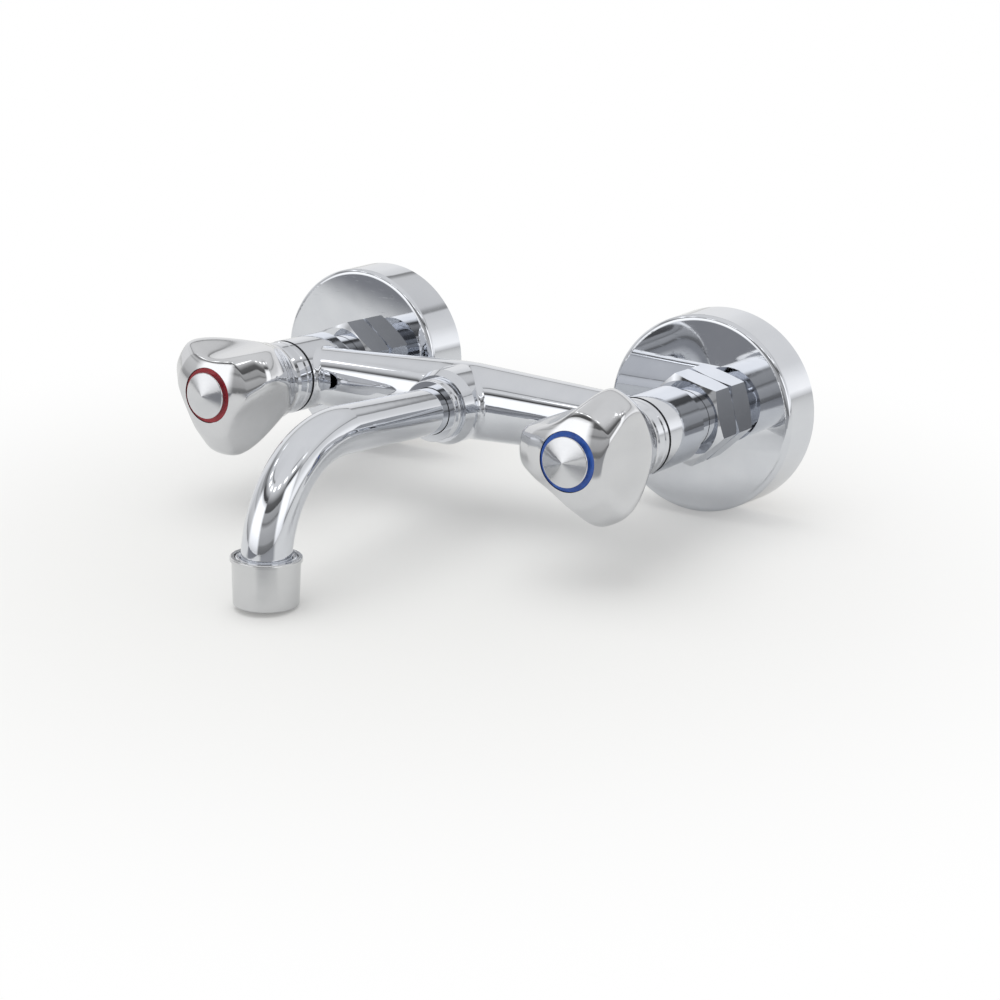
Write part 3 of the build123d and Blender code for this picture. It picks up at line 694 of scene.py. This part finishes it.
def make_world():
    """White to the camera, and an even sky to all that is dull. Metal sees a room with windows.

    In front stands a grey wall between bright windows on the left and the right, with a dark beam over them,
    a grey upper wall and a row of small ceiling lamps. At the back a pale sheet runs up to a thin dark line
    high above the tap, and on its right it starts at another, low down. The ceiling is light grey.
    """
    sky_strength = 0.75
    room_strength = 1.45
    lamp_strength = 3.0
    lamp_count = 17.0
    row_low, row_high = 0.69, 0.745
    row_edge_low, row_edge_high = 0.70, 0.735
    world = bpy.data.worlds.new("studio")
    bpy.context.scene.world = world
    world.use_nodes = True
    tree = world.node_tree
    tree.nodes.clear()
    way = add_node(tree, "ShaderNodeTexCoord").outputs["Generated"]
    parts = add_node(tree, "ShaderNodeSeparateXYZ", {"Vector": way})
    height = parts.outputs["Z"]
    heading = add_node(tree, "ShaderNodeMath", {
        0: parts.outputs["Y"], 1: parts.outputs["X"],
    }, operation="ARCTAN2")

    # The light of each side of the room, by the height of a direction, which is its sine
    lowest, highest = -0.05, 1.0
    rise = add_node(tree, "ShaderNodeMapRange", {"Value": height, "From Min": lowest, "From Max": highest})
    windows, wall, back, back_right = (add_node(tree, "ShaderNodeValToRGB", {"Fac": rise}) for _ in range(4))
    draw_greys(windows, lowest, highest, [
        (-0.05, 0.60), (0.02, 0.80), (0.16, 1.0), (0.50, 1.0), (0.55, 0.60), (0.57, 0.05), (0.61, 0.07),
        (0.65, 0.32), (0.67, 0.40), (0.69, 0.60), (0.76, 0.58), (0.775, 0.16), (0.80, 0.54), (1.0, 0.58),
    ])
    draw_greys(wall, lowest, highest, [
        (-0.05, 0.14), (0.02, 0.18), (0.05, 0.30), (0.25, 0.38), (0.31, 0.16), (0.34, 0.28), (0.44, 0.32),
        (0.46, 0.07), (0.55, 0.10), (0.66, 0.44), (0.72, 0.58), (1.0, 0.58),
    ])
    draw_greys(back, lowest, highest, [
        (-0.05, 0.58), (0.02, 0.60), (0.20, 0.64), (0.36, 0.66), (0.50, 0.58), (0.515, 0.20), (0.53, 0.24),
        (0.56, 0.50), (0.72, 0.56), (1.0, 0.58),
    ])
    draw_greys(back_right, lowest, highest, [
        (-0.05, 0.55), (0.0, 0.40), (0.03, 0.22), (0.06, 0.50), (0.12, 0.85), (0.22, 0.78), (0.34, 0.60),
        (0.50, 0.54), (0.515, 0.24), (0.53, 0.28), (0.56, 0.50), (0.72, 0.58), (1.0, 0.58),
    ])

    # Where the windows stand, by heading in degrees: 0 is the right, and -90 is straight in front
    bearing = add_node(tree, "ShaderNodeMapRange", {
        "Value": heading, "From Min": -math.pi, "From Max": math.pi,
    })
    glazed = add_node(tree, "ShaderNodeValToRGB", {"Fac": bearing})
    draw_greys(glazed, -180, 180, [
        (-180, 0.2), (-150, 0.2), (-138, 1.0), (-98, 1.0), (-90, 0.0), (-30, 0.0), (-22, 1.0), (1, 1.0),
        (3, 0.0), (7, 0.0), (9, 1.0), (28, 1.0), (30, 0.0), (34, 0.0), (36, 1.0), (54, 1.0), (60, 0.2),
        (180, 0.2),
    ])
    front = add_node(tree, "ShaderNodeMix", {"Factor": glazed, "A": wall, "B": windows}, data_type="RGBA")
    rightwards = add_node(tree, "ShaderNodeMapRange", {
        "Value": parts.outputs["X"], "From Min": 0.10, "From Max": 0.35,
    }, interpolation_type="SMOOTHSTEP")
    rear = add_node(tree, "ShaderNodeMix", {
        "Factor": rightwards, "A": back, "B": back_right,
    }, data_type="RGBA")
    frontwards = add_node(tree, "ShaderNodeMapRange", {
        "Value": parts.outputs["Y"], "From Min": -0.15, "From Max": 0.20, "To Min": 1.0, "To Max": 0.0,
    }, interpolation_type="SMOOTHSTEP")
    room = add_node(tree, "ShaderNodeMix", {"Factor": frontwards, "A": rear, "B": front}, data_type="RGBA")

    # Small lamps in a row round the ceiling's edge, of which those in front are lit
    above_row = add_node(tree, "ShaderNodeMapRange", {
        "Value": height, "From Min": row_low, "From Max": row_edge_low,
    }, interpolation_type="SMOOTHSTEP")
    below_row = add_node(tree, "ShaderNodeMapRange", {
        "Value": height, "From Min": row_edge_high, "From Max": row_high, "To Min": 1.0, "To Max": 0.0,
    }, interpolation_type="SMOOTHSTEP")
    row = add_node(tree, "ShaderNodeMath", {0: above_row, 1: below_row}, operation="MULTIPLY")
    rounds = add_node(tree, "ShaderNodeMath", {0: heading, 1: lamp_count}, operation="MULTIPLY")
    wave = add_node(tree, "ShaderNodeMath", {0: rounds}, operation="SINE")
    spots = add_node(tree, "ShaderNodeMapRange", {
        "Value": wave, "From Min": 0.1, "From Max": 0.4,
    }, interpolation_type="SMOOTHSTEP")
    spots_in_row = add_node(tree, "ShaderNodeMath", {0: row, 1: spots}, operation="MULTIPLY")
    lit = add_node(tree, "ShaderNodeMath", {0: spots_in_row, 1: frontwards}, operation="MULTIPLY")
    strength = add_node(tree, "ShaderNodeMath", {
        0: lit, 1: lamp_strength, 2: room_strength,
    }, operation="MULTIPLY_ADD")

    shine = add_node(tree, "ShaderNodeBackground", {"Color": room, "Strength": strength})
    plain = add_node(tree, "ShaderNodeBackground", {"Color": (1, 1, 1, 1), "Strength": sky_strength})
    white = add_node(tree, "ShaderNodeBackground", {"Color": (1, 1, 1, 1), "Strength": 1.0})
    seen = add_node(tree, "ShaderNodeLightPath")
    metal_sees = add_node(tree, "ShaderNodeMixShader", {
        "Fac": seen.outputs["Is Glossy Ray"], 1: plain, 2: shine,
    })
    camera_sees = add_node(tree, "ShaderNodeMixShader", {
        "Fac": seen.outputs["Is Camera Ray"], 1: metal_sees, 2: white,
    })
    add_node(tree, "ShaderNodeOutputWorld", {"Surface": camera_sees})


dress_nodes()
for side, way_out in sides.items():
    make_threaded_union(side, way_out * inlet_x)
    make_handle(side, way_out * inlet_x)
make_outlet_lip()
make_floor()
make_world()
make_lamp("overhead", place=(-0.3, -0.2, 1.3), target=(0.0, -0.08, 0.0), size=(1.4, 1.2), power=8.5)
make_camera()

bpy.context.scene.view_settings.view_transform = "Standard"
